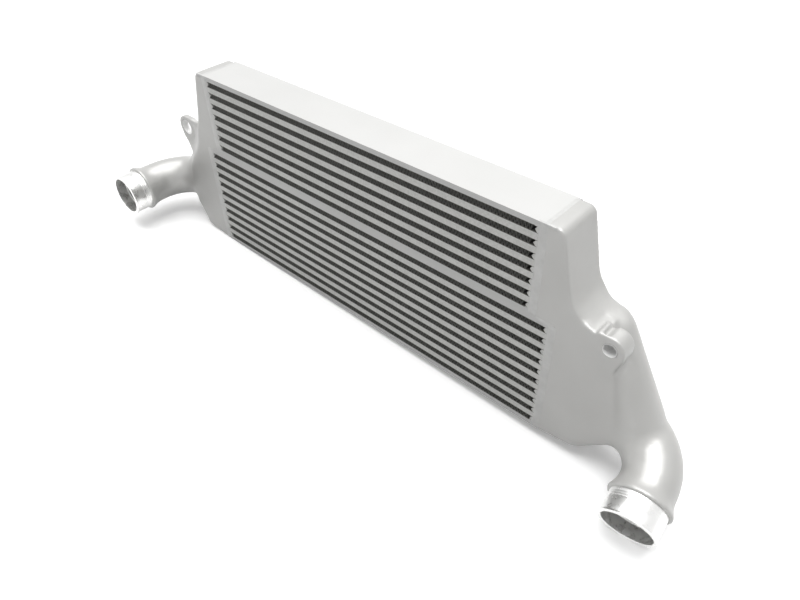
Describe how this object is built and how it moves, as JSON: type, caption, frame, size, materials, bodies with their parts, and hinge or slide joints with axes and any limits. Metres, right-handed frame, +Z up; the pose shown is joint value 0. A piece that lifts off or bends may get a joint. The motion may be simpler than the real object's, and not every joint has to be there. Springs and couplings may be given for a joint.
{
  "type": "intercooler",
  "caption": "Charge-air cooler with a stepped bar-and-plate core, cast end tanks with mounting ears, and forward-bent hose outlets.",
  "frame": {"origin": "centre of the underside of the lower core", "axes": "+X across the cores towards the tank whose outlet points down, +Y from the front face to the back, +Z up"},
  "size_m": [0.8825, 0.1388, 0.275],
  "materials": {
    "brazed_core": "matte, slightly sandy brazed surface",
    "dark_fins": "matte, in deep shade",
    "plain_turbulators": "plain mill finish",
    "cast_tanks": "satin casting, hose seats turned bright"
  },
  "bodies": {
    "root": {"air_fins_lower_01": "dark_fins", "air_fins_lower_02": "dark_fins", "air_fins_lower_03": "dark_fins", "air_fins_lower_04": "dark_fins", "air_fins_lower_05": "dark_fins", "air_fins_lower_06": "dark_fins", "air_fins_lower_07": "dark_fins", "air_fins_lower_08": "dark_fins", "air_fins_lower_09": "dark_fins", "air_fins_lower_10": "dark_fins", "air_fins_upper_01": "dark_fins", "air_fins_upper_02": "dark_fins", "air_fins_upper_03": "dark_fins", "air_fins_upper_04": "dark_fins", "air_fins_upper_05": "dark_fins", "air_fins_upper_06": "dark_fins", "air_fins_upper_07": "dark_fins", "charge_bars_lower_01": "brazed_core", "charge_bars_lower_02": "brazed_core", "charge_bars_lower_03": "brazed_core", "charge_bars_lower_04": "brazed_core", "charge_bars_lower_05": "brazed_core", "charge_bars_lower_06": "brazed_core", "charge_bars_lower_07": "brazed_core", "charge_bars_lower_08": "brazed_core", "charge_bars_lower_09": "brazed_core", "charge_bars_upper_01": "brazed_core", "charge_bars_upper_02": "brazed_core", "charge_bars_upper_03": "brazed_core", "charge_bars_upper_04": "brazed_core", "charge_bars_upper_05": "brazed_core", "charge_bars_upper_06": "brazed_core", "end_bars_lower_left": "brazed_core", "end_bars_lower_right": "brazed_core", "end_bars_upper_left": "brazed_core", "end_bars_upper_right": "brazed_core", "left_end_tank": "cast_tanks", "lower_bottom_plate": "brazed_core", "lower_top_plate": "brazed_core", "parting_sheets_lower": "brazed_core", "parting_sheets_upper": "brazed_core", "right_end_tank": "cast_tanks", "turbulator_lower_01": "plain_turbulators", "turbulator_lower_02": "plain_turbulators", "turbulator_lower_03": "plain_turbulators", "turbulator_lower_04": "plain_turbulators", "turbulator_lower_05": "plain_turbulators", "turbulator_lower_06": "plain_turbulators", "turbulator_lower_07": "plain_turbulators", "turbulator_lower_08": "plain_turbulators", "turbulator_lower_09": "plain_turbulators", "turbulator_upper_01": "plain_turbulators", "turbulator_upper_02": "plain_turbulators", "turbulator_upper_03": "plain_turbulators", "turbulator_upper_04": "plain_turbulators", "turbulator_upper_05": "plain_turbulators", "turbulator_upper_06": "plain_turbulators", "upper_bottom_plate": "brazed_core", "upper_top_plate": "brazed_core"}
  },
  "joints": []
}
